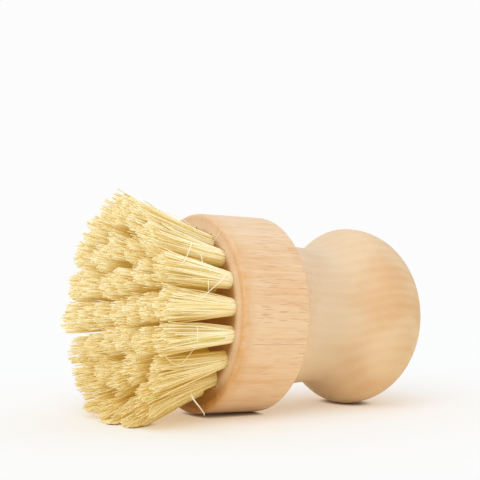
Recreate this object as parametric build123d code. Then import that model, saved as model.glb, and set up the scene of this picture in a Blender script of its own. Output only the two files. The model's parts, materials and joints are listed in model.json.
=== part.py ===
"""Palm-held dish brush: a turned wooden handle with plant-fibre tufts set in its face.

The brush lies on its side. Sizes are in millimetres. The brush is built about its own axis,
with the bristle face at zero and the knob in the positive direction, and is then laid down.
"""
import os
from math import asin, atan, atan2, cos, degrees, hypot, pi, radians, sin, sqrt
from random import Random

from build123d import *

# Turned handle
head_radius = 25.0
head_length = 19.2
rim_round = 1.1
shoulder_round = 1.0
neck_radius = 17.8
cove_length = 15.6
swell_length = 13.6
knob_radius = 23.7
knob_side_share = 0.633
knob_end_share = 1.2285

# Tuft holes, drilled in rings round one centre hole and fanned out
ring_count = 3
tufts_per_ring_step = 6
ring_turn = 6.8
hole_radius = 2.25
hole_depth = 8.6
face_margin = 3.75
drill_overrun = 3.0

# Flat wire anchors that hold the folded fibres down in the holes
anchor_thickness = 0.5
anchor_height = 2.0
anchor_bite = 0.3
anchor_depth = 7.6
anchor_groove_clearance = 0.06

# Fibre tufts
tuft_clearance = 0.05
bristle_length = 23.8
tip_spread = 5.6
packed_height = 1.4
strand_radius = 0.44
strand_root_depth = 0.7
strand_root_margin = 0.03
tuft_tip_gap = 0.3
trim_unevenness = 1.1
tip_wander = 0.16
bundle_sides = 10
strand_sides = 3
strand_turn = pi  # one corner points down, so that a pressed strand stands on the floor
inner_strands = 3
outer_strands = 7
inner_strand_share = 0.42
tuft_seed = 11

# Places that follow from the sizes above
cylinder_end = head_length - shoulder_round
neck_distance = head_length + cove_length
knob_distance = neck_distance + swell_length
knob_side_radius = knob_radius * knob_side_share
knob_end_radius = knob_radius * knob_end_share
outer_ring_radius = head_radius - face_margin - hole_radius
tip_ring_radius = outer_ring_radius + tip_spread


def floor_tilt():
    """Angle between the brush axis and the line that touches the head's back edge and the knob."""
    reach = knob_distance - cylinder_end
    drop = (knob_radius - knob_side_radius) - (head_radius - shoulder_round)
    rise = asin((shoulder_round - knob_side_radius) / hypot(reach, drop))
    return rise - atan2(drop, reach)


def axis_height():
    """Height of the middle of the bristle face above the floor when the brush lies."""
    tilt = floor_tilt()
    return cylinder_end * sin(tilt) + (head_radius - shoulder_round) * cos(tilt) + shoulder_round


def floor_depth(axial):
    """Depth of the floor below the brush axis, square to it, at a distance along it."""
    tilt = floor_tilt()
    return (axis_height() - axial * sin(tilt)) / cos(tilt)


def turned_handle():
    """Head, neck and knob turned from one piece, with a small round on each edge of the head."""
    side_offset = knob_radius - knob_side_radius
    end_offset = sqrt((knob_end_radius - knob_side_radius) ** 2 - side_offset**2)
    meeting = degrees(atan2(end_offset, side_offset))
    neck_point = (neck_radius, neck_distance)
    knob_point = (knob_radius, knob_distance)
    face = Line((0, 0), (head_radius - rim_round, 0))
    rim = CenterArc((head_radius - rim_round, rim_round), rim_round, 270, 90)
    side = Line((head_radius, rim_round), (head_radius, cylinder_end))
    shoulder = CenterArc((head_radius - shoulder_round, cylinder_end), shoulder_round, 0, 90)
    cove = EllipticalCenterArc(
        (head_radius - shoulder_round, neck_distance),
        head_radius - shoulder_round - neck_radius,
        neck_distance - head_length,
        start_angle=180,
        arc_size=90,
    )
    swell = Spline(neck_point, knob_point, tangents=((0, 1), (0, 1)))
    knob_side = CenterArc((side_offset, knob_distance), knob_side_radius, 0, meeting)
    knob_end = CenterArc(
        (0, knob_distance - end_offset), knob_end_radius, meeting, 90 - meeting
    )
    spine = Line(knob_end @ 1, (0, 0))
    outline = Wire([face, rim, side, shoulder, cove, swell, knob_side, knob_end, spine])
    half = Plane.XZ * make_face(outline.edges())
    return revolve(half, Axis.Z)


class Tuft:
    """Place of one tuft: its hole mouth on the face, its lean and where its tips spread to."""

    def __init__(self, ring, index):
        count = max(1, ring * tufts_per_ring_step)
        self.ring = ring
        self.index = index
        self.angle = radians(ring_turn + 360 * index / count)
        share = ring / ring_count
        self.root_radius = outer_ring_radius * share
        self.tip_radius = tip_ring_radius * share
        self.lean = atan((self.tip_radius - self.root_radius) / bristle_length)

    def name(self):
        if self.ring == 0:
            return "tuft_centre"
        ring_name = ("centre", "inner", "middle", "outer")[self.ring]
        return f"tuft_{ring_name}_{self.index + 1:02d}"

    def centre(self, axial):
        """Middle of the tuft at a distance along the brush axis, negative beyond the face."""
        radius = self.root_radius - axial * (self.tip_radius - self.root_radius) / bristle_length
        return Vector(radius * sin(self.angle), radius * cos(self.angle), axial)

    def plane(self):
        """Plane at the hole mouth, its normal out along the tuft and its X away from the axis."""
        outward = Vector(sin(self.angle), cos(self.angle), 0)
        normal = outward * sin(self.lean) - Vector(0, 0, 1) * cos(self.lean)
        across = outward * cos(self.lean) + Vector(0, 0, 1) * sin(self.lean)
        return Plane(origin=self.centre(0), x_dir=across, z_dir=normal)


def all_tufts():
    tufts = [Tuft(0, 0)]
    for ring in range(1, ring_count + 1):
        tufts += [Tuft(ring, index) for index in range(ring * tufts_per_ring_step)]
    return tufts


def anchor(tuft):
    """Flat wire anchor, driven in edge first, with both ends biting into the wood."""
    length = 2 * (hole_radius + anchor_bite)
    block = Box(
        length, anchor_thickness, anchor_height, align=(Align.CENTER, Align.CENTER, Align.MIN)
    )
    return tuft.plane() * Pos(0, 0, -anchor_depth) * block


def drilled_hole(tuft):
    """Blind hole for a tuft, and the two grooves that the anchor cuts on its way in."""
    bore = Pos(0, 0, -hole_depth) * Cylinder(
        hole_radius, hole_depth + drill_overrun, align=(Align.CENTER, Align.CENTER, Align.MIN)
    )
    groove = Pos(0, 0, -anchor_depth) * Box(
        2 * (hole_radius + anchor_bite),
        anchor_thickness + 2 * anchor_groove_clearance,
        anchor_depth + drill_overrun,
        align=(Align.CENTER, Align.CENTER, Align.MIN),
    )
    return tuft.plane() * (bore + groove)


def slanted_prism(start, end, radius, sides, turn):
    """Straight rod of a few flat sides, cut square to the brush axis at both ends."""
    corners = []
    for k in range(sides):
        bearing = turn + 2 * pi * k / sides
        corners.append(start + Vector(radius * cos(bearing), radius * sin(bearing), 0))
    return Solid.extrude(Face(Wire.make_polygon(corners, close=True)), end - start)


def pressed_by_floor(tips):
    """Tips of one tuft, squeezed upwards so that the lowest one only just reaches the floor."""
    lowest = min(tips, key=lambda tip: tip.X)
    highest = max(tip.X for tip in tips)
    limit = strand_radius - floor_depth(lowest.Z)
    if lowest.X >= limit:
        return tips
    squeeze = (highest - limit) / (highest - lowest.X)
    return [Vector(highest - (highest - tip.X) * squeeze, tip.Y, tip.Z) for tip in tips]


def strand_ends(tuft, rng):
    """Root and tip of each strand: a few near the middle of the tuft and the rest round it."""
    packed_radius = (hole_radius - tuft_clearance) * cos(pi / bundle_sides)
    widest_root = packed_radius - strand_radius - strand_root_margin
    ring_pitch = tip_ring_radius / ring_count
    outer_pitch = 2 * tip_ring_radius * sin(pi / (ring_count * tufts_per_ring_step))
    widest_tip = (min(ring_pitch, outer_pitch) - tuft_tip_gap) / 2 - strand_radius - tip_wander
    roots = []
    tips = []
    for count, share in ((inner_strands, inner_strand_share), (outer_strands, 1)):
        for k in range(count):
            bearing = tuft.angle + 2 * pi * k / count
            outward = Vector(sin(bearing), cos(bearing), 0)
            wander = Vector(rng.uniform(-1, 1), rng.uniform(-1, 1), 0) * (tip_wander / sqrt(2))
            trim = Vector(0, 0, trim_unevenness * rng.random())
            roots.append(tuft.centre(strand_root_depth - packed_height) + outward * widest_root * share)
            tips.append(tuft.centre(-bristle_length) + outward * widest_tip * share + wander + trim)
    return zip(roots, pressed_by_floor(tips))


def fibre_tuft(tuft, rng):
    """Bundle folded under its anchor in the hole, with the strands that fan out of it."""
    bottom = (hole_depth - tuft_clearance) * cos(tuft.lean) - hole_radius * sin(tuft.lean)
    bundle = slanted_prism(
        tuft.centre(bottom),
        tuft.centre(-packed_height),
        hole_radius - tuft_clearance,
        bundle_sides,
        tuft.angle,
    )
    strands = [
        slanted_prism(root, tip, strand_radius, strand_sides, strand_turn)
        for root, tip in strand_ends(tuft, rng)
    ]
    return bundle.fuse(*strands) - anchor(tuft)


def lying_plane():
    """Where the brush lies: head and knob on the floor, the axis tipped down towards the knob."""
    tilt = floor_tilt()
    return Plane(
        origin=(0, 0, axis_height()),
        x_dir=(sin(tilt), 0, cos(tilt)),
        z_dir=(cos(tilt), 0, -sin(tilt)),
    )


def build():
    rng = Random(tuft_seed)
    tufts = all_tufts()
    pieces = {"turned_handle": turned_handle() - [drilled_hole(tuft) for tuft in tufts]}
    for tuft in tufts:
        pieces[tuft.name()] = fibre_tuft(tuft, rng)
    pieces["tuft_anchors"] = Compound(children=[anchor(tuft) for tuft in tufts])
    laid = {name: lying_plane() * piece for name, piece in pieces.items()}
    box = Compound(children=[Compound(piece.solids()) for piece in laid.values()]).bounding_box()
    centring = Pos(-(box.min.X + box.max.X) / 2, -(box.min.Y + box.max.Y) / 2, 0)
    return {name: centring * piece for name, piece in laid.items()}


os.makedirs("parts", exist_ok=True)
for name, piece in build().items():
    export_step(piece, f"parts/{name}.step")
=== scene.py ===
"""Palm-held dish brush: bare turned wood with splayed tufts of plant fibre.

Lengths are in metres. Points on the brush are worked out about its own axis: the first number is
the distance from the bristle face towards the knob, the second is across the brush towards the
viewer, and the third is up. The brush lies on its side, so these are turned a little from the
floor. "Out" is the distance in front of the bristle face.
"""
import json
from math import atan2, cos, hypot, pi, radians, sin, sqrt
from random import Random

import bpy
import numpy as np
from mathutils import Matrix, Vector


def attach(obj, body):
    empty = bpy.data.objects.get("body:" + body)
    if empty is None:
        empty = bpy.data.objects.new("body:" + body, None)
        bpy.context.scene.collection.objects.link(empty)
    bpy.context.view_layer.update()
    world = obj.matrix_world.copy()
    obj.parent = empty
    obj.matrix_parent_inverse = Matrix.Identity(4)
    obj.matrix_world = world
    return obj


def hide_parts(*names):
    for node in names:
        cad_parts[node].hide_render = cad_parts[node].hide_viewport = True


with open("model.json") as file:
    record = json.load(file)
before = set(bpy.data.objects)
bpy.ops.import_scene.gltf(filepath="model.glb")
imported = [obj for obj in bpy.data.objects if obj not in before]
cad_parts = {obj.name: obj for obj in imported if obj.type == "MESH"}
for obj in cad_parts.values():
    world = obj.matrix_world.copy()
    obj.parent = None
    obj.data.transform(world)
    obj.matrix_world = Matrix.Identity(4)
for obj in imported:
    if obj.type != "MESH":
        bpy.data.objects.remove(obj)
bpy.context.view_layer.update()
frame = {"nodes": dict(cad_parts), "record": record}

bl_info = {
    "name": "Palm Dish Brush",
    "version": (1, 0, 0),
    "blender": (4, 5, 0),
    "location": "View3D > Sidebar > Dish Brush",
    "description": "Plant-fibre tufts and finishes for a turned wooden dish brush",
    "category": "Add Mesh",
}

MILLIMETRE = 0.001
MARKS = "fibre_marks"
TUFT_SEED = 41
STRAY_SEED = 7

# Where the wood's finish changes, from the start of a soft step to its end: by distance along the
# brush from its face
KNOB_START = (0.020, 0.034)
NECK_START = (0.019, 0.027)
NECK_END = (0.048, 0.032)
PORES_START = (0.002, 0.005)
LINE_START = (0.002, 0.004)
LINE_END = (0.0192, 0.017)
FACE_END = (0.0006, 0.0001)
SOFT_BAND_END = (0.0046, 0.0008)
SHARP_BAND_END = (0.0015, 0.0005)
# The low edge of the face takes painted shade up to this distance
LOW_RIM_SHADE_END = (0.0018, 0.0004)

# The same by distance from the brush's axis
PORES_RADIUS = (0.0232, 0.0247)
# Inside these radii the face takes painted shade between the tufts
FACE_SHADE_RADIUS = (0.0218, 0.0197)
RIM_RADIUS = (0.0226, 0.0241)
# The low edge of the face takes painted shade inside this radius
LOW_RIM_SHADE_RADIUS = (0.0244, 0.0228)

# The same by height above the axis, and the longer line's depth below it, width and wander
# Below these heights the face takes painted shade, low down near the floor
LOW_FACE_SHADE = (-0.0125, -0.0195)
BAND_HEIGHT = (0.024, 0.004)
LINE_DEPTH = 0.0062
LINE_WIDTH = (0.00011, 0.00004)
LINE_WANDER = 0.0003
LINE_SIDE = (0.0, -0.005)

# Heights above the floor between which the fibres get deeper in colour: painted shade near the
# floor
LOW_FIBRE_SHADE = (0.026, 0.002)

# Colours of the wire, in its scratches and between them
WIRE_DARK = (0.34, 0.34, 0.33)
WIRE_LIGHT = (0.55, 0.54, 0.52)

# The table: how far a dark nook under the brush looks for open air, how much of that makes it
# bright, the colour of its painted contact shadow, the strength of the painted warm glow that it
# throws back up at the brush, and where the backdrop fades in
TABLE_RADIUS = 4
NOOK_REACH = 3 * MILLIMETRE
NOOK_OPEN = 0.42
CONTACT_SHADOW_COLOUR = (0.20, 0.13, 0.08)
PAINTED_BOUNCE_GLOW = 0.05
BACKDROP_START = (0.12, 0.7)
BACKDROP_WHITE = (0.975, 0.975, 0.975)
SKY = (0.93, 0.98, 1.0)

# The lamps: how wide each one is in degrees, and where it points
KEY_WIDTH = 50
KEY_DIRECTION = (0.55, 0.5, -1.0)
WINDOW_WIDTH = 40
WINDOW_DIRECTION = (0.9, 0.3, -0.35)

# The camera: the picture's width in pixels and the sensor's in millimetres, the focal length in
# pixels, the point that the camera turns about, and how many pixels right of and below the middle
# of the picture that point is seen
PICTURE_WIDTH = 480
SENSOR_WIDTH = 36
FOCAL_PIXELS = 1143.6
TARGET_ALONG = 22.5 * MILLIMETRE
TARGET_HEIGHT = 25 * MILLIMETRE
TARGET_RIGHT = 25.3
TARGET_DOWN = 73.4


def mount(name):
    """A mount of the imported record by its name."""
    return next(item for item in frame["record"]["mounts"] if item["name"] == name)


def node_points(name):
    """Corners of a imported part, in the row frame."""
    mesh = frame["nodes"][name].data
    corners = np.zeros(len(mesh.vertices) * 3)
    mesh.vertices.foreach_get("co", corners)
    return corners.reshape(-1, 3)


class BrushAxes:
    """The brush's own directions, and the middle of its bristle face."""

    def __init__(self):
        rim = mount("head_rim")
        self.axis = Vector(rim["axis"]).normalized()
        self.across = Vector((0, -1, 0))
        self.up = self.across.cross(self.axis)
        self.tilt = atan2(-self.axis.z, self.axis.x)
        middle = Vector(rim["pos_m"])
        along = (node_points("turned_handle") - np.array(middle)) @ np.array(self.axis)
        self.face = middle + self.axis * float(along.min())
        self.turn = np.array([self.axis, self.across, self.up])

    def to_brush(self, points):
        """Row-frame points as points about the brush's axis."""
        return (np.asarray(points) - np.array(self.face)) @ self.turn.T

    def to_row(self, points):
        """Points about the brush's axis as row-frame points."""
        return np.asarray(points) @ self.turn + np.array(self.face)


brush = BrushAxes()
tuft_names = sorted(n for n in frame["nodes"] if n.startswith("tuft_") and n != "tuft_anchors")


# ---- Sizes and colours that a user would change


class TuftSizes(bpy.types.PropertyGroup):
    folded_fibres: bpy.props.IntProperty(
        name="Folded fibres", description="Fibres folded in half in each tuft",
        default=130, min=8, max=200,
    )
    fibre_radius: bpy.props.FloatProperty(
        name="Fibre radius", description="Radius of one fibre at the hole",
        default=0.165 * MILLIMETRE, precision=5, unit="LENGTH", subtype="DISTANCE",
    )
    mouth_radius: bpy.props.FloatProperty(
        name="Bundle radius", description="Radius that the fibres fill at the hole's mouth",
        default=2.03 * MILLIMETRE, precision=5, unit="LENGTH", subtype="DISTANCE",
    )
    fan_radius: bpy.props.FloatProperty(
        name="Fan radius", description="Radius that the fibres fill at their tips",
        default=4.1 * MILLIMETRE, precision=5, unit="LENGTH", subtype="DISTANCE",
    )
    length: bpy.props.FloatProperty(
        name="Bristle length", description="Distance along the brush from the face to the tips",
        default=24.0 * MILLIMETRE, precision=5, unit="LENGTH", subtype="DISTANCE",
    )
    puff: bpy.props.FloatProperty(
        name="Puff", description="How much shorter a tuft is at its edge than in its middle",
        default=2.5 * MILLIMETRE, precision=5, unit="LENGTH", subtype="DISTANCE",
    )
    trim: bpy.props.FloatProperty(
        name="Uneven trim", description="How far the tips differ in length",
        default=1.2 * MILLIMETRE, precision=5, unit="LENGTH", subtype="DISTANCE",
    )
    bow: bpy.props.FloatProperty(
        name="Bow", description="How far a fibre bows off its straight line",
        default=0.35 * MILLIMETRE, precision=5, unit="LENGTH", subtype="DISTANCE",
    )
    clumping: bpy.props.FloatProperty(
        name="Clumping", description="How far the tips draw together into clumps",
        default=0.6, min=0, max=1, subtype="FACTOR",
    )
    pale: bpy.props.FloatVectorProperty(
        name="Pale fibre", description="Colour of the palest fibres",
        default=(1.0, 0.98, 0.85), size=3, min=0, max=1, subtype="COLOR",
    )
    straw: bpy.props.FloatVectorProperty(
        name="Straw fibre", description="Colour of the yellowest fibres",
        default=(0.93, 0.80, 0.49), size=3, min=0, max=1, subtype="COLOR",
    )
    bleached: bpy.props.FloatVectorProperty(
        name="Bleached fibre", description="Colour of the white loose fibres",
        default=(0.98, 0.96, 0.88), size=3, min=0, max=1, subtype="COLOR",
    )
    # Painted shade: the colour that fibres between and inside the tufts take for the shade among
    # them
    fibre_shade: bpy.props.FloatVectorProperty(
        name="Deep fibre", description="Colour of the fibres between and inside the tufts",
        default=(0.72, 0.49, 0.11), size=3, min=0, max=1, subtype="COLOR",
    )
    # Painted light: a glow of the fibres' own colour, for the light that passes on inside them
    painted_glow: bpy.props.FloatVectorProperty(
        name="Soaked light", description="Light that passes on inside the pale fibres",
        default=(0.15, 0.14, 0.07), size=3, min=0, max=1, subtype="COLOR",
    )
    green: bpy.props.FloatVectorProperty(
        name="Green fibre", description="Colour of the few unripe fibres",
        default=(0.50, 0.56, 0.10), size=3, min=0, max=1, subtype="COLOR",
    )


class WoodLook(bpy.types.PropertyGroup):
    pale: bpy.props.FloatVectorProperty(
        name="Pale wood", description="Colour of the early wood",
        default=(0.86, 0.63, 0.42), size=3, min=0, max=1, subtype="COLOR",
    )
    warm: bpy.props.FloatVectorProperty(
        name="Warm wood", description="Colour of the late wood and the warm patches",
        default=(0.76, 0.46, 0.24), size=3, min=0, max=1, subtype="COLOR",
    )
    neck: bpy.props.FloatVectorProperty(
        name="Neck", description="Colour of the paler wood round the neck",
        default=(0.80, 0.66, 0.52), size=3, min=0, max=1, subtype="COLOR",
    )
    knob: bpy.props.FloatVectorProperty(
        name="Knob tint", description="Tint that deepens the wood of the knob a little",
        default=(0.93, 0.93, 0.89), size=3, min=0, max=1, subtype="COLOR",
    )
    pore: bpy.props.FloatVectorProperty(
        name="Pores", description="Colour of the short dark pore lines",
        default=(0.46, 0.20, 0.11), size=3, min=0, max=1, subtype="COLOR",
    )
    end_grain: bpy.props.FloatVectorProperty(
        name="End grain", description="Colour of the bristle face",
        default=(0.82, 0.60, 0.42), size=3, min=0, max=1, subtype="COLOR",
    )
    # Painted shade: the colour that the bristle face takes between the tufts and low down
    face_shade: bpy.props.FloatVectorProperty(
        name="Face shade", description="Colour of the bristle face between the tufts",
        default=(0.38, 0.17, 0.03), size=3, min=0, max=1, subtype="COLOR",
    )
    rim: bpy.props.FloatVectorProperty(
        name="Rim", description="Colour of the burnished band on the head's front edge",
        default=(0.70, 0.36, 0.13), size=3, min=0, max=1, subtype="COLOR",
    )


class StudioLook(bpy.types.PropertyGroup):
    heading: bpy.props.FloatProperty(
        name="Heading", description="Bearing of the camera round the brush",
        default=radians(-34.0), subtype="ANGLE",
    )
    rise: bpy.props.FloatProperty(
        name="Rise", description="Height of the camera above the brush as an angle",
        default=radians(3.0), subtype="ANGLE",
    )
    distance: bpy.props.FloatProperty(
        name="Distance", description="Distance from the camera to the middle of the head",
        default=0.3, unit="LENGTH", subtype="DISTANCE",
    )
    surround: bpy.props.FloatProperty(
        name="Surround", description="Strength of the even light from all round",
        default=0.84, min=0, max=2,
    )
    key: bpy.props.FloatProperty(
        name="Key lamp", description="Strength of the soft lamp above",
        default=0.8, min=0, max=5,
    )
    window: bpy.props.FloatProperty(
        name="Window lamp", description="Strength of the lamp on the bristle side",
        default=0.25, min=0, max=5,
    )
    floor: bpy.props.FloatVectorProperty(
        name="Floor", description="Colour of the white table",
        default=(0.435, 0.595, 0.71), size=3, min=0, max=1, subtype="COLOR",
    )
    # Painted light: a warm glow that the table gives off where it is open to the air, which fills
    # its shadows
    painted_floor_glow: bpy.props.FloatVectorProperty(
        name="Floor glow", description="Warm light that fills the shadows on the table",
        default=(0.515, 0.34, 0.215), size=3, min=0, max=1, subtype="COLOR",
    )
    # Painted light: the colour in which the brush sees the table, warmer than the white that the
    # camera sees
    painted_bounce: bpy.props.FloatVectorProperty(
        name="Bounce", description="Colour of the light that the table throws back up",
        default=(0.98, 0.87, 0.68), size=3, min=0, max=1, subtype="COLOR",
    )


# ---- Materials


class Shade:
    """A socket in a material's nodes, so that shader sums read as plain expressions."""

    def __init__(self, tree, socket=None):
        self.tree = tree
        self.socket = socket

    def node(self, kind, settings=None, inputs=None, out=0):
        """Adds a node with its settings, then its socket values or links."""
        made = self.tree.nodes.new(kind)
        for name, value in (settings or {}).items():
            setattr(made, name, value)
        for name, value in (inputs or {}).items():
            self.join(made.inputs[name], value)
        return Shade(self.tree, made.outputs[out])

    def join(self, socket, value):
        """Links a socket to this value, or sets it where the value is a plain one."""
        if isinstance(value, Shade):
            self.tree.links.new(value.socket, socket)
        elif socket.type == "RGBA" and len(value) == 3:
            socket.default_value = (*value, 1)
        else:
            socket.default_value = value

    def maths(self, operation, *values):
        """The result of an operation on these values."""
        settings = {"operation": operation}
        return self.node("ShaderNodeMath", settings, dict(enumerate(values)))

    def __add__(self, other):
        return self.maths("ADD", self, other)

    def __radd__(self, other):
        return self.maths("ADD", other, self)

    def __sub__(self, other):
        return self.maths("SUBTRACT", self, other)

    def __rsub__(self, other):
        return self.maths("SUBTRACT", other, self)

    def __mul__(self, other):
        return self.maths("MULTIPLY", self, other)

    def __pow__(self, other):
        return self.maths("POWER", self, other)

    def ramp(self, low, high, start=0.0, end=1.0):
        """Smooth step of this value between two limits."""
        settings = {"interpolation_type": "SMOOTHSTEP"}
        inputs = {"Value": self, "From Min": low, "From Max": high, "To Min": start, "To Max": end}
        return self.node("ShaderNodeMapRange", settings, inputs)

    def mix(self, first, second):
        """Mix of two colours by this value."""
        return self.node("ShaderNodeMix", {"data_type": "RGBA"}, {0: self, 6: first, 7: second}, 2)

    def tint(self, colour):
        """This colour seen through another."""
        settings = {"data_type": "RGBA", "blend_type": "MULTIPLY"}
        return self.node("ShaderNodeMix", settings, {0: 1.0, 6: self, 7: colour}, 2)

    def stretch(self, scale):
        """This vector with each direction scaled."""
        return self.node("ShaderNodeVectorMath", {"operation": "MULTIPLY"}, {0: self, 1: scale})

    def noise(self, scale, detail, roughness=0.5):
        """Soft random blotches over this vector, from 0 to 1."""
        inputs = {"Vector": self, "Scale": scale, "Detail": detail, "Roughness": roughness}
        return self.node("ShaderNodeTexNoise", {}, inputs)

    def cells(self, scale):
        """Distance from the nearest of many scattered points."""
        inputs = {"Vector": self, "Scale": scale}
        return self.node("ShaderNodeTexVoronoi", {"feature": "F1"}, inputs)

    def parts(self):
        """The three numbers of this vector."""
        split = self.node("ShaderNodeSeparateXYZ", {}, {"Vector": self}).socket.node
        return [Shade(self.tree, socket) for socket in split.outputs]


def new_material(name):
    """A node material, its start for node expressions and its main shader."""
    material = bpy.data.materials.new(name)
    material.use_nodes = True
    tree = material.node_tree
    return material, Shade(tree), tree.nodes["Principled BSDF"]


def dress(part, material):
    """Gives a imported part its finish."""
    part.data.materials.clear()
    part.data.materials.append(material)


def fibre_material(look):
    """Plant fibre, coloured by the marks that fibre_marks() gives its points, with painted shade
    among the fibres and near the floor, and a painted glow.
    """
    material, shade, shader = new_material("plant_fibre")
    tone, green, share = shade.node("ShaderNodeAttribute", {"attribute_name": MARKS}).parts()
    fibre_shade = shade.node("ShaderNodeAttribute", {"attribute_name": MARKS}, out="Alpha")
    place = shade.node("ShaderNodeTexCoord", out="Object")
    streak = place.stretch((0.12, 1, 1)).noise(2600, 2, 0.6)
    # Painted shade: fibres low over the floor turn more straw-coloured and darker
    low = place.parts()[2].ramp(*LOW_FIBRE_SHADE)
    blend = (tone * 0.8 + streak * 0.4 + low * 0.2 + share * 0.2).ramp(0.05, 0.95)
    colour = blend.mix(tuple(look.pale), tuple(look.straw))
    # Painted shade: fibres among other fibres and near the floor shift towards the shade colour
    colour = (fibre_shade + low * 0.26).mix(colour, tuple(look.fibre_shade))
    colour = tone.ramp(-0.2, -0.8).mix(colour, tuple(look.bleached))
    colour = (green * share.ramp(0.05, 0.6, 1, 0.3)).mix(colour, tuple(look.green))
    shade.join(shader.inputs["Base Color"], colour)
    # Painted glow: the fibres give off their own colour, tinted, for the light that passes on
    # inside them
    shade.join(shader.inputs["Emission Color"], colour.tint(tuple(look.painted_glow)))
    shader.inputs["Emission Strength"].default_value = 1.0
    shade.join(shader.inputs["Roughness"], streak.ramp(0.3, 0.7, 0.42, 0.6))
    shader.inputs["Specular IOR Level"].default_value = 0.4
    return material


def wood_material(look):
    """Bare turned wood: grain, pores, a bristle face with painted shade between the tufts and low
    down, a burnished rim, and painted shade on the face's low edge.
    """
    material, shade, shader = new_material("bare_turned_wood")

    # Distances along the brush from its face, across it away from the viewer, and up
    seen = shade.node("ShaderNodeTexCoord", out="Object")
    turned = {"Vector": seen, "Location": tuple(brush.face), "Rotation": (0, brush.tilt, 0)}
    place = shade.node("ShaderNodeMapping", {"vector_type": "TEXTURE"}, turned)
    along, across, up = place.parts()
    radius = (across * across + up * up) ** 0.5

    # Growth layers, cut by the round surface
    drift = place.stretch((0.35, 1, 1)).noise(38, 2, 0.5)
    layer = up * 330 + across * 150 + drift * 3.0
    wave = layer.maths("SINE", layer * 6.3) * 0.5 + 0.5
    patches = place.stretch((0.55, 1, 1)).noise(55, 3, 0.55)
    fine = place.stretch((0.05, 1, 1)).noise(1700, 2, 0.6)
    knob = along.ramp(*KNOB_START)
    lines = fine.ramp(0.35, 0.75) * (0.3 - knob * 0.22)
    broad = place.stretch((0.7, 1, 1)).noise(85, 1, 0.4).ramp(0.45, 0.68) * knob
    warmth = patches.ramp(0.36, 0.76) * 0.42 + wave * 0.14 + lines + broad * 0.26
    colour = warmth.ramp(0.0, 0.85).mix(tuple(look.pale), tuple(look.warm))
    neck = along.ramp(*NECK_START) * along.ramp(*NECK_END)
    colour = (neck * 0.45).mix(colour, tuple(look.neck))
    colour = colour.tint(knob.mix((1, 1, 1), tuple(look.knob)))

    # Pores: short lines along the grain, in loose rows
    specks = place.stretch((0.06, 1, 1)).cells(2900)
    rows = place.stretch((0.3, 1, 1)).noise(150, 2, 0.6)
    pores = specks.ramp(0.33, 0.16) * (0.2 + rows.ramp(0.36, 0.6) * 0.8)
    pores = pores * along.ramp(*PORES_START) * radius.ramp(*PORES_RADIUS)
    colour = (pores * 0.5).mix(colour, tuple(look.pore))

    # One longer line on the head's side, low on the viewer's side
    sag = up + place.noise(160, 1) * LINE_WANDER + LINE_DEPTH
    line = sag.maths("ABSOLUTE", sag).ramp(*LINE_WIDTH) * across.ramp(*LINE_SIDE)
    line = line * along.ramp(*LINE_START) * along.ramp(*LINE_END)
    colour = (line * 0.6).mix(colour, tuple(look.pore))

    # Bristle face across the grain, with painted shade between the tufts and low down near the
    # floor
    speckle = place.stretch((0.3, 1, 1)).noise(1500, 2, 0.6)
    mottle = place.noise(330, 3, 0.6)
    face = along.ramp(*FACE_END)
    grit = place.noise(1900, 3, 0.7)
    low = (up + mottle * 0.003).ramp(*LOW_FACE_SHADE)
    shaded = radius.ramp(*FACE_SHADE_RADIUS) + low
    ground = shaded.mix(tuple(look.end_grain), tuple(look.face_shade))
    colour = (face * (0.8 + speckle.ramp(0.35, 0.7) * 0.2)).mix(colour, ground)
    colour = (face * grit.ramp(0.5, 0.72) * 0.35).mix(colour, tuple(look.pore))

    # Burnished band round the front edge, darkest where it is low
    band = along.ramp(*SOFT_BAND_END) * 0.42 + along.ramp(*SHARP_BAND_END) * 0.22
    band = radius.ramp(*RIM_RADIUS) * band
    band = band * (0.5 + mottle.ramp(0.3, 0.7) * 0.7 + grit.ramp(0.35, 0.7) * 0.2)
    band = band * up.ramp(*BAND_HEIGHT, 0.55, 1.0)
    colour = band.mix(colour, tuple(look.rim))
    # Painted shade on the low edge of the face next to the floor, in the face's shade colour
    low_rim_shade = low * radius.ramp(*LOW_RIM_SHADE_RADIUS) * along.ramp(*LOW_RIM_SHADE_END)
    colour = (low_rim_shade * (0.55 + grit.ramp(0.3, 0.6) * 0.45)).mix(colour, tuple(look.face_shade))

    shade.join(shader.inputs["Base Color"], colour)
    shade.join(shader.inputs["Roughness"], fine.ramp(0.3, 0.7, 0.5, 0.64))
    height = fine * 0.35 + speckle * face * 0.5 - pores
    relief = {"Height": height, "Strength": 0.25, "Distance": 0.00012}
    shade.join(shader.inputs["Normal"], shade.node("ShaderNodeBump", {}, relief))
    shader.inputs["Specular IOR Level"].default_value = 0.35
    return material


def wire_material():
    """Drawn steel, with fine scratches upwards."""
    material, shade, shader = new_material("drawn_wire")
    place = shade.node("ShaderNodeTexCoord", out="Object")
    scratches = place.stretch((1, 1, 0.1)).noise(2400, 2, 0.6)
    colour = scratches.ramp(0.3, 0.7).mix(WIRE_DARK, WIRE_LIGHT)
    shade.join(shader.inputs["Base Color"], colour)
    shade.join(shader.inputs["Roughness"], scratches.ramp(0.3, 0.7, 0.3, 0.5))
    shader.inputs["Metallic"].default_value = 1.0
    return material


# ---- Fibres

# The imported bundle: how far it stands out of the face, and how thick a slice shows its ends
BUNDLE_OUT = 1.6 * MILLIMETRE
END_SLICE = 0.02 * MILLIMETRE

# The hole: the anchor's depth, the fold's room under it and its shoulders above it, and how much
# of the bundle's width the fold takes
ANCHOR_DEPTH = 7.6 * MILLIMETRE
FOLD_ROOM = 0.8 * MILLIMETRE
FOLD_SHOULDER = 0.4 * MILLIMETRE
FOLD_WIDTH = 0.96

# Where fibres start in their half of the hole, as shares of its radius: the power that crowds them
# towards its edge, their scatter, and their least distance from the anchor
CROWDING = 0.42
START_SCATTER = 0.05
ANCHOR_GAP = 0.09

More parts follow.
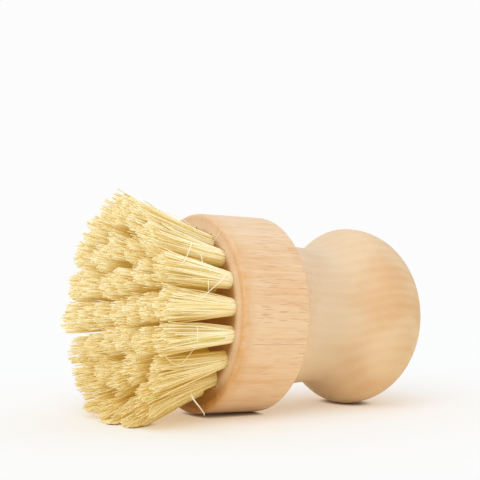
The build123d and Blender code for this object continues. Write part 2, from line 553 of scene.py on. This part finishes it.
# The rings: the outer one's radius at the face and how much it gains towards the tips, the radius
# inside which a tuft isn't an outer one, and how wide such a tuft fans out against an outer one
OUTER_RING = 19 * MILLIMETRE
OUTER_SPREAD = 5.6 * MILLIMETRE
INNER_RADIUS = 17 * MILLIMETRE
INNER_FAN = 0.87

# The floor: the height over which it lifts fibres softly, and how many times that it reaches up
FLOOR_SOFTNESS = 1.1 * MILLIMETRE
FLOOR_REACH = 8

# The splay of the tips, which grows along the bristles: low tips go down and, on the viewer's
# side, across, and high tips go up. It starts at a height off the axis and is full after a range
SPLAY_LENGTH = 24 * MILLIMETRE
SPLAY_START = 13 * MILLIMETRE
SPLAY_RANGE = 12 * MILLIMETRE
SPLAY_SIDE = 5 * MILLIMETRE
SPLAY_ACROSS = 2.5 * MILLIMETRE
SPLAY_DOWN = 3.2 * MILLIMETRE
SPLAY_UP = 1.1 * MILLIMETRE

# The locks that the tips of a tuft draw together into: how many, the share of the tuft's width
# where they lie, by how many millimetres they differ, and how strongly they draw
CLUMPS = 15
CLUMP_DISC = 0.96
CLUMP_TRIM = 0.8
CLUMP_PULL = (0.3, 1.0)

# The scatter of tips: a few wander far off their lock, and a few fibres are millimetres shorter
WANDER = 0.04
WIDE_WANDER = 0.16
WIDE_SHARE = 0.25
SHORT_SHARE = 0.15
SHORTER_BY = (1, 5)

# The scatter of a tuft's length and of the slant of its trimmed end, both in millimetres, and how
# round that end is
TUFT_LENGTH = (-1.1, 0.4)
TUFT_SLANT = 0.35
TUFT_ROUND = 0.9
UNEVEN = 0.5

# The scatter of tones, where -1 is bleached, 0 is pale and 1 is straw
BLEACHED = -1.0
TUFT_TONE = (-0.1, 0.1)
TONE = 0.2
TONE_SCATTER = 0.3
DARK_SHARE = 0.2
DARK_TONE = 0.6
# A dark fibre is darker in tone at random and also takes at least this much painted shade, for the
# shadow lines between fibres
DARK_FIBRE_SHADE = 0.6
GREEN_SHARE = 0.006
GREEN_MARK = 0.9

# A fibre's thickness against the usual one, and how much thinner it is at its tip
THICKNESS = (0.78, 1.12)
TAPER = 0.38

# The painted shade inside the brush, for the shade among the fibres: the depth at which it is
# strong, how much nearer the side counts than the front, and its most
DEEP = 7 * MILLIMETRE
DEEP_SIDE = 3
DEEPEST = 0.9

# Places along a fibre outside its hole, the share over which it doesn't fan out yet, and how close
# corners are joined into one
LEG_SHARES = (0.0, 0.22, 0.5, 0.8, 1.0)
STRAIGHT_SHARE = 0.03
WELD = 0.0002 * MILLIMETRE


class TuftPlace:
    """Where a tuft stands: the line down the middle of its packed bundle, read from the frame."""

    def __init__(self, name):
        corners = brush.to_brush(node_points(name))
        inside = corners[corners[:, 0] > -BUNDLE_OUT]
        front = inside[inside[:, 0] < inside[:, 0].min() + END_SLICE]
        back = inside[inside[:, 0] > inside[:, 0].max() - END_SLICE]
        back = (back.min(axis=0) + back.max(axis=0)) / 2
        self.front = (front.min(axis=0) + front.max(axis=0)) / 2
        self.slope = (self.front - back)[1:] / (back[0] - self.front[0])
        mouth = self.middle(0)
        self.ring_radius = sqrt(mouth[1] ** 2 + mouth[2] ** 2)
        if self.ring_radius > MILLIMETRE:
            self.outward = np.array([mouth[1], mouth[2]]) / self.ring_radius
        else:
            self.outward = np.array([1.0, 0.0])
        self.around = np.array([-self.outward[1], self.outward[0]])

    def middle(self, out):
        """Middle of the bundle at a distance in front of the face, or inside it if negative."""
        aside = self.front[1:] + self.slope * (out + self.front[0])
        return np.array([-out, aside[0], aside[1]])

    def point(self, out, outward, around):
        """Point beside the middle line, square to the brush's axis."""
        place = self.middle(out)
        place[1:] += self.outward * outward + self.around * around
        return place


# Loose fibres: thickness against a thin fibre, tone, how green it is, and points in millimetres as
# distance out from the face, across and up. Then how thin a thin fibre is, how much thinner at its
# end, its count of points, and the share of the way to the tip that its colour is for
LOOSE_FIBRES = (
    (1.4, BLEACHED, 0.0, (
        (1.5, 18.4, 9.9), (3.1, 20.4, 9.4), (8.2, 23.8, 6.8), (13.8, 27.0, 3.9),
    )),
    (1.1, BLEACHED, 0.0, (
        (9.6, 15.9, 17.1), (11.4, 18.6, 16.8), (14.0, 21.6, 14.5), (17.3, 24.6, 11.9),
    )),
    (1.2, BLEACHED, 0.0, ((7.6, 16.2, 14.6), (8.9, 19.2, 13.3), (9.7, 20.9, 12.2))),
    (1.0, BLEACHED, 0.0, ((7.6, 20.2, 9.0), (8.1, 21.2, 8.2), (8.3, 21.6, 5.8))),
    (0.9, BLEACHED, 0.0, ((12.0, 23.0, -2.0), (12.4, 24.4, -3.0), (12.9, 25.2, -5.8))),
    (0.9, 0.2, 0.0, (
        (19.6, 22.8, -9.0), (14.4, 22.6, -10.0), (13.1, 23.0, -8.2), (10.5, 22.4, -6.4),
    )),
    (2.2, BLEACHED, 0.0, (
        (7.4, 14.2, -18.1), (8.1, 15.5, -18.8), (5.5, 14.4, -21.4), (2.4, 12.2, -24.1),
    )),
    (0.7, BLEACHED, 0.0, ((0.5, 9.0, 16.2), (0.6, 10.0, 17.2), (0.5, 13.9, 20.8))),
    (0.9, 1.0, 0.1, (
        (6.2, 10.6, 19.9), (7.2, 10.8, 21.1), (11.7, 3.9, 24.9), (14.5, 1.6, 26.4),
    )),
    (1.3, 1.0, 0.8, ((13.0, 3.4, 25.2), (13.7, 2.6, 26.0), (15.6, 2.0, 27.1))),
    (1.7, 0.6, 1.0, (
        (3.3, 21.4, -4.9), (4.6, 22.5, -4.9), (7.3, 22.9, -5.0), (11.9, 24.6, -5.2),
        (18.0, 26.7, -5.4),
    )),
    (1.5, 1.0, 0.9, ((19.8, 19.3, -18.0), (20.4, 20.0, -18.3), (22.3, 18.3, -18.6))),
)
LOOSE_THICKNESS = 0.62
LOOSE_TAPER = 0.45
LOOSE_STEPS = 11
LOOSE_SHARE = 0.2

# Wisps, which are loose fibres at random: how many, their thickness against a thin fibre, where
# along a tuft they leave it and how many millimetres they reach
WISPS = 7
WISP_THICKNESS = 0.7
WISP_START = (0.25, 0.6)
WISP_LENGTH = (4, 8)


def disc_spots(count, rng):
    """Places in the half of a unit disc beside the anchor, closer together towards its edge."""
    spots = []
    golden = pi * (3 - sqrt(5))
    while len(spots) < count:
        radius = ((len(spots) + 0.5) / count) ** CROWDING
        bearing = (len(spots) * golden + rng.uniform(-START_SCATTER, START_SCATTER)) % pi
        spots.append((radius * cos(bearing), max(radius * sin(bearing), ANCHOR_GAP)))
    return spots


def press_on_floor(points, radius):
    """Lifts what would be under the floor, and splays the tips near it and at the top."""
    points = np.array(points)
    out = np.clip(-points[:, 0] / SPLAY_LENGTH, 0, 1) ** 2
    low = np.clip((-points[:, 2] - SPLAY_START) / SPLAY_RANGE, 0, 1)
    near = np.clip((points[:, 1] + SPLAY_SIDE) / SPLAY_SIDE, 0, 1)
    points[:, 1] += out * low * near * SPLAY_ACROSS
    points[:, 2] -= out * low * near * SPLAY_DOWN
    high = np.clip((points[:, 2] - SPLAY_START) / SPLAY_RANGE, 0, 1)
    points[:, 2] += out * high * SPLAY_UP
    row = brush.to_row(points)
    height = row[:, 2] - radius
    lifted = (height + np.sqrt(height**2 + FLOOR_SOFTNESS**2)) / 2
    row[:, 2] = np.where(height > FLOOR_REACH * FLOOR_SOFTNESS, height, lifted) + radius
    return row


def fibre_leg(place, spot, length, sizes, clumps, rng):
    """Points of one end of a fibre, from the mouth of the hole out to its tip."""
    outward, around = spot
    clump = min(clumps, key=lambda c: (c[0] - outward) ** 2 + (c[1] - around) ** 2)
    length += clump[2]
    pull = sizes.clumping * rng.uniform(*CLUMP_PULL)
    wander = WIDE_WANDER if rng.random() < WIDE_SHARE else WANDER
    tip_outward = outward + (clump[0] - outward) * pull + rng.gauss(0, wander)
    tip_around = around + (clump[1] - around) * pull + rng.gauss(0, wander)
    bearing = rng.uniform(0, 2 * pi)
    bow = sizes.bow * rng.gauss(0, 1)
    fan = sizes.fan_radius * (1 if place.ring_radius > INNER_RADIUS else INNER_FAN)
    points = []
    for share in LEG_SHARES:
        spread = max(0.0, share - STRAIGHT_SHARE)
        own = sizes.mouth_radius * (1 - spread)
        swing = sin(pi * share) * bow
        wide_out = own * outward + fan * tip_outward * spread
        wide_around = own * around + fan * tip_around * spread
        points.append(place.point(
            share * length,
            wide_out + swing * cos(bearing),
            wide_around + swing * sin(bearing),
        ))
    return points


def fibre_points(place, spot, sizes, clumps, trims, rng):
    """A whole fibre, from tip to tip, folded under the anchor in the hole."""
    legs = []
    for side in (1, -1):
        jitter = [rng.uniform(-START_SCATTER, START_SCATTER) for _ in range(2)]
        start = (spot[0] + jitter[0], side * spot[1] + jitter[1])
        reach = hypot(*start)
        if reach > 1:
            start = (start[0] / reach, start[1] / reach)
        length = sizes.length + trims(start, rng)
        legs.append(fibre_leg(place, start, length, sizes, clumps, rng))
    depth = ANCHOR_DEPTH + FOLD_ROOM * (0.25 + 0.6 * spot[1])
    wide = sizes.mouth_radius * FOLD_WIDTH
    shoulder = ANCHOR_DEPTH - FOLD_SHOULDER
    fold = [
        place.point(-shoulder, wide * spot[0], wide * spot[1]),
        place.point(-depth, wide * spot[0], wide * spot[1] * 0.5),
        place.point(-depth, wide * spot[0], -wide * spot[1] * 0.5),
        place.point(-shoulder, wide * spot[0], -wide * spot[1]),
    ]
    return np.array(legs[0][::-1] + fold + legs[1])


def fibre_mesh(name, fibres, material):
    """One mesh of thin rods from lists of points, radii and marks."""
    curve = bpy.data.curves.new(name, "CURVE")
    curve.dimensions = "3D"
    curve.bevel_depth = 1.0
    curve.bevel_resolution = 0
    curve.use_fill_caps = True
    for points, radii, _ in fibres:
        spline = curve.splines.new("POLY")
        spline.points.add(len(points) - 1)
        flat = np.ones((len(points), 4))
        flat[:, :3] = points
        spline.points.foreach_set("co", flat.ravel())
        spline.points.foreach_set("radius", radii)
    piece = bpy.data.objects.new(name, curve)
    bpy.context.scene.collection.objects.link(piece)
    bpy.ops.object.select_all(action="DESELECT")
    piece.select_set(True)
    bpy.context.view_layer.objects.active = piece
    bpy.ops.object.convert(target="MESH")
    # The converted mesh has the ends of all rods first, the last rod's in front, and then the rods
    rings = [mark[[-1, 0]] for _, _, mark in reversed(fibres)] + [mark for _, _, mark in fibres]
    marks = np.repeat(np.concatenate(rings), 4, axis=0)
    if len(marks) != len(piece.data.vertices):
        raise RuntimeError(f"{name}: {len(marks)} marks for {len(piece.data.vertices)} corners")
    layer = piece.data.attributes.new(MARKS, "FLOAT_COLOR", "POINT")
    layer.data.foreach_set("color", marks.astype(np.float32).ravel())
    bpy.ops.object.mode_set(mode="EDIT")
    bpy.ops.mesh.select_all(action="SELECT")
    bpy.ops.mesh.remove_doubles(threshold=WELD)
    bpy.ops.object.mode_set(mode="OBJECT")
    piece.data.materials.clear()
    piece.data.materials.append(material)
    return piece


def fibre_marks(tone, green, share, depth):
    """Marks of a fibre's points: its tone, how green it is, the share of the way to its tip, and
    how much painted shade it takes for lying among the other fibres."""
    marks = np.zeros((len(share), 4))
    marks[:, 0] = tone
    marks[:, 1] = green
    marks[:, 2] = share
    marks[:, 3] = depth
    return marks


def fibre_shade_marks(points, sizes):
    """Painted shade for each point of a fibre by how far it is from open air, from 0 at the
    outside to DEEPEST far inside.
    """
    out = np.clip(-points[:, 0] / sizes.length, 0, 1)
    half_width = sizes.mouth_radius + (sizes.fan_radius - sizes.mouth_radius) * out
    reach = np.hypot(points[:, 1], points[:, 2])
    beside = OUTER_RING + OUTER_SPREAD * out + half_width - reach
    ahead = (1 - out) * sizes.length
    depth = np.minimum(np.clip(beside, 0, None) * DEEP_SIDE, ahead)
    return (1 - np.exp(-(depth / DEEP) ** 2)) * DEEPEST


def tuft_clumps(rng):
    """Places in a unit disc where tips draw together, and how much shorter each lock is."""
    clumps = []
    while len(clumps) < CLUMPS:
        spot = (rng.uniform(-1, 1), rng.uniform(-1, 1))
        if hypot(*spot) <= CLUMP_DISC:
            clumps.append((*spot, -abs(rng.gauss(0, CLUMP_TRIM)) * MILLIMETRE))
    return clumps


def tuft_fibres(name, sizes, rng):
    """Points, radii and marks of every fibre of a tuft."""
    place = TuftPlace(name)
    clumps = tuft_clumps(rng)
    slant = (rng.uniform(-1, 1), rng.uniform(-1, 1))
    base = rng.uniform(*TUFT_LENGTH) * MILLIMETRE
    tuft_tone = rng.uniform(*TUFT_TONE)

    def trims(start, rng):
        """What a fibre's length gains or loses from the place where it starts."""
        uneven = -abs(rng.gauss(0, UNEVEN)) * sizes.trim
        short = rng.random() < SHORT_SHARE
        lean = (slant[0] * start[0] + slant[1] * start[1]) * TUFT_SLANT * MILLIMETRE
        edge = (1 - sqrt(1 - TUFT_ROUND * (start[0] ** 2 + start[1] ** 2))) * sizes.puff
        broken = rng.uniform(*SHORTER_BY) * MILLIMETRE if short else 0
        return base + lean + uneven - edge - broken

    fibres = []
    for spot in disc_spots(sizes.folded_fibres, rng):
        points = fibre_points(place, spot, sizes, clumps, trims, rng)
        thick = sizes.fibre_radius * rng.uniform(*THICKNESS)
        fold = np.zeros(len(points) - 2 * len(LEG_SHARES))
        share = np.concatenate([LEG_SHARES[::-1], fold, LEG_SHARES])
        dark = rng.random() < DARK_SHARE
        tone = TONE + tuft_tone + rng.gauss(0, TONE_SCATTER) + (DARK_TONE if dark else 0)
        green = GREEN_MARK if rng.random() < GREEN_SHARE else 0
        # Painted shade among the fibres, and more of it on a dark fibre
        depth = np.maximum(fibre_shade_marks(points, sizes), DARK_FIBRE_SHADE if dark else 0)
        marks = fibre_marks(min(1, max(0, tone)), green, share, depth)
        fibres.append((press_on_floor(points, thick), thick * (1 - TAPER * share**2), marks))
    return fibres


def loose_fibre(points, thick, tone, green):
    """One loose fibre: a smooth line through a few points in front of the bristle face."""
    points = np.array(points) * MILLIMETRE
    steps = np.linalg.norm(np.diff(points, axis=0), axis=1)
    places = np.concatenate([[0], np.cumsum(steps)]) / steps.sum()
    legs = np.linspace(0, 1, LOOSE_STEPS)
    degree = min(3, len(points) - 1)
    line = [np.polyval(np.polyfit(places, points[:, k], degree), legs) for k in range(3)]
    line = np.column_stack([-line[0], line[1], line[2]])
    marks = fibre_marks(tone, green, np.full(len(legs), LOOSE_SHARE), 0)
    return brush.to_row(line), thick * (1 - LOOSE_TAPER * legs), marks


def wisp(name, sizes, rng):
    """Points of a thin fibre that leaves a tuft on its outer side."""
    place = TuftPlace(name)
    start = rng.uniform(*WISP_START) * sizes.length
    reach = rng.uniform(*WISP_LENGTH) * MILLIMETRE
    lean = rng.uniform(-1, 1)
    points = []
    for share in (0.0, 0.5, 1.0):
        out = start + reach * share * 0.8
        wide = sizes.mouth_radius + (sizes.fan_radius - sizes.mouth_radius) * out / sizes.length
        point = place.point(out, wide * 0.8 + reach * 0.3 * share, reach * lean * share**2 * 0.7)
        points.append((-point[0] / MILLIMETRE, point[1] / MILLIMETRE, point[2] / MILLIMETRE))
    return points


def stray_fibres(sizes, rng):
    """The loose fibres that stand off the tufts, and the few unripe ones that lie on them."""
    thin = sizes.fibre_radius * LOOSE_THICKNESS
    fibres = []
    for size, tone, green, points in LOOSE_FIBRES:
        fibres.append(loose_fibre(points, thin * size, tone, green))
    for name in rng.sample([n for n in tuft_names if "outer" in n], WISPS):
        points = wisp(name, sizes, rng)
        fibres.append(loose_fibre(points, thin * WISP_THICKNESS, BLEACHED, 0.0))
    return fibres


# ---- Operators


class DISHBRUSH_OT_tufts(bpy.types.Operator):
    """Adds the fibres of every tuft"""
    bl_idname = "dishbrush.tufts"
    bl_label = "Fibre tufts"

    def execute(self, context):
        sizes = context.scene.dish_brush_tufts
        material = fibre_material(sizes)
        rng = Random(TUFT_SEED)
        for name in tuft_names:
            fibres = tuft_fibres(name, sizes, rng)
            piece = fibre_mesh("fibres_" + name.removeprefix("tuft_"), fibres, material)
            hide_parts(name)
            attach(piece, "root")
        return {"FINISHED"}


class DISHBRUSH_OT_strays(bpy.types.Operator):
    """Adds the loose fibres that stand off the tufts"""
    bl_idname = "dishbrush.strays"
    bl_label = "Loose fibres"

    def execute(self, context):
        sizes = context.scene.dish_brush_tufts
        material = bpy.data.materials["plant_fibre"]
        fibres = stray_fibres(sizes, Random(STRAY_SEED))
        piece = fibre_mesh("fibres_loose", fibres, material)
        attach(piece, "root")
        return {"FINISHED"}


class DISHBRUSH_OT_wood(bpy.types.Operator):
    """Gives the turned handle its bare wood"""
    bl_idname = "dishbrush.wood"
    bl_label = "Turned wood"

    def execute(self, context):
        dress(frame["nodes"]["turned_handle"], wood_material(context.scene.dish_brush_wood))
        return {"FINISHED"}


class DISHBRUSH_OT_anchors(bpy.types.Operator):
    """Gives the flat wire anchors their drawn steel"""
    bl_idname = "dishbrush.anchors"
    bl_label = "Wire anchors"

    def execute(self, context):
        dress(frame["nodes"]["tuft_anchors"], wire_material())
        return {"FINISHED"}


class DISHBRUSH_OT_studio(bpy.types.Operator):
    """Adds the white table, the even light, the two soft lamps and the camera"""
    bl_idname = "dishbrush.studio"
    bl_label = "Studio"

    def execute(self, context):
        look = context.scene.dish_brush_studio
        self.table(look)
        self.surround(context.scene, look)
        self.lamps(context.scene, look)
        self.camera(context.scene, look)
        context.scene.view_settings.view_transform = "Standard"
        return {"FINISHED"}

    def table(self, look):
        """The table, with a painted contact shadow and a painted warm glow in its shadows, a
        painted warm glow thrown back up at the brush, and a fade into the white backdrop.
        """
        bpy.ops.object.select_all(action="DESELECT")
        bpy.ops.mesh.primitive_circle_add(vertices=96, radius=TABLE_RADIUS, fill_type="NGON")
        table = bpy.context.object
        table.name = "white_table"
        material, shade, shader = new_material("white_table")
        seen = shade.node("ShaderNodeLightPath", out="Is Camera Ray")
        nook = shade.node("ShaderNodeAmbientOcclusion", {}, {"Distance": NOOK_REACH}, "AO")
        open_air = nook.ramp(0.0, NOOK_OPEN)
        # Painted contact shadow: the camera sees the table darker where it has little open air
        shown = open_air.mix(CONTACT_SHADOW_COLOUR, tuple(look.floor))
        # Painted light: the brush sees the table in the warm bounce colour
        shade.join(shader.inputs["Base Color"], seen.mix(tuple(look.painted_bounce), shown))
        # Painted light: the camera sees a warm glow of the table that fills its shadows, and the
        # brush a weaker one
        lit = open_air.mix((0, 0, 0), tuple(look.painted_floor_glow))
        glow = seen.mix(tuple(PAINTED_BOUNCE_GLOW * part for part in look.painted_bounce), lit)
        shade.join(shader.inputs["Emission Color"], glow)
        shader.inputs["Emission Strength"].default_value = 1.0
        shader.inputs["Roughness"].default_value = 0.9
        shader.inputs["Specular IOR Level"].default_value = 0.1
        tree = material.node_tree
        place = shade.node("ShaderNodeTexCoord", out="Object")
        away = place.node("ShaderNodeVectorMath", {"operation": "LENGTH"}, {0: place}, "Value")
        light = {"Color": BACKDROP_WHITE, "Strength": 1.0}
        white = shade.node("ShaderNodeEmission", {}, light)
        far = away.ramp(*BACKDROP_START) * seen
        base = Shade(tree, shader.outputs[0])
        both = shade.node("ShaderNodeMixShader", {}, {0: far, 1: base, 2: white})
        shade.join(tree.nodes["Material Output"].inputs["Surface"], both)
        table.data.materials.append(material)

    def surround(self, scene, look):
        """Even light from all round, which the camera sees as white."""
        world = bpy.data.worlds.new("even_light")
        world.use_nodes = True
        tree = world.node_tree
        shade = Shade(tree)
        paths = shade.node("ShaderNodeLightPath")
        seen = [Shade(tree, paths.socket.node.outputs[n]) for n in
                ("Is Camera Ray", "Is Glossy Ray", "Is Transmission Ray")]
        shown = paths.maths("MINIMUM", seen[0] + seen[1] + seen[2], 1.0)
        background = tree.nodes["Background"]
        strength = shown * (1 - look.surround) + look.surround
        shade.join(background.inputs["Color"], shown.mix(SKY, BACKDROP_WHITE))
        shade.join(background.inputs["Strength"], strength)
        scene.world = world

    def lamps(self, scene, look):
        """Two wide soft lamps."""
        for name, strength, width, direction in (
            ("key_lamp", look.key, KEY_WIDTH, KEY_DIRECTION),
            ("window_lamp", look.window, WINDOW_WIDTH, WINDOW_DIRECTION),
        ):
            lamp = bpy.data.lights.new(name, "SUN")
            lamp.energy = strength
            lamp.angle = radians(width)
            holder = bpy.data.objects.new(name, lamp)
            holder.rotation_euler = Vector(direction).to_track_quat("-Z", "Y").to_euler()
            scene.collection.objects.link(holder)

    def camera(self, scene, look):
        """The camera, beside and a little above the brush."""
        lens = bpy.data.cameras.new("camera")
        lens.sensor_width = SENSOR_WIDTH
        lens.lens = SENSOR_WIDTH * FOCAL_PIXELS / PICTURE_WIDTH
        lens.clip_start = 0.01
        lens.clip_end = 20
        holder = bpy.data.objects.new("camera", lens)
        scene.collection.objects.link(holder)
        scene.camera = holder
        target = Vector((brush.face.x + TARGET_ALONG, 0, TARGET_HEIGHT))
        back = Vector((
            sin(look.heading) * cos(look.rise), -cos(look.heading) * cos(look.rise), sin(look.rise)
        ))
        holder.location = target + back * look.distance
        yaw = look.heading + atan2(TARGET_RIGHT, FOCAL_PIXELS)
        pitch = atan2(TARGET_DOWN, FOCAL_PIXELS) - look.rise
        holder.rotation_euler = (pi / 2 + pitch, 0, yaw)


class DISHBRUSH_PT_panel(bpy.types.Panel):
    """Every piece's button, and the sizes and colours"""
    bl_label = "Dish Brush"
    bl_idname = "DISHBRUSH_PT_panel"
    bl_space_type = "VIEW_3D"
    bl_region_type = "UI"
    bl_category = "Dish Brush"

    def draw(self, context):
        for operator in operators:
            self.layout.operator(operator.bl_idname)
        for group in ("dish_brush_tufts", "dish_brush_wood", "dish_brush_studio"):
            settings = getattr(context.scene, group)
            for name in settings.__annotations__:
                self.layout.prop(settings, name)


operators = (
    DISHBRUSH_OT_wood,
    DISHBRUSH_OT_anchors,
    DISHBRUSH_OT_tufts,
    DISHBRUSH_OT_strays,
    DISHBRUSH_OT_studio,
)
classes = (TuftSizes, WoodLook, StudioLook, *operators, DISHBRUSH_PT_panel)


def register():
    for item in classes:
        bpy.utils.register_class(item)
    bpy.types.Scene.dish_brush_tufts = bpy.props.PointerProperty(type=TuftSizes)
    bpy.types.Scene.dish_brush_wood = bpy.props.PointerProperty(type=WoodLook)
    bpy.types.Scene.dish_brush_studio = bpy.props.PointerProperty(type=StudioLook)


def unregister():
    del bpy.types.Scene.dish_brush_studio
    del bpy.types.Scene.dish_brush_wood
    del bpy.types.Scene.dish_brush_tufts
    for item in reversed(classes):
        bpy.utils.unregister_class(item)


def main():
    register()
    bpy.ops.dishbrush.wood()
    bpy.ops.dishbrush.anchors()
    bpy.ops.dishbrush.tufts()
    bpy.ops.dishbrush.strays()
    bpy.ops.dishbrush.studio()


if __name__ == "__main__":
    main()
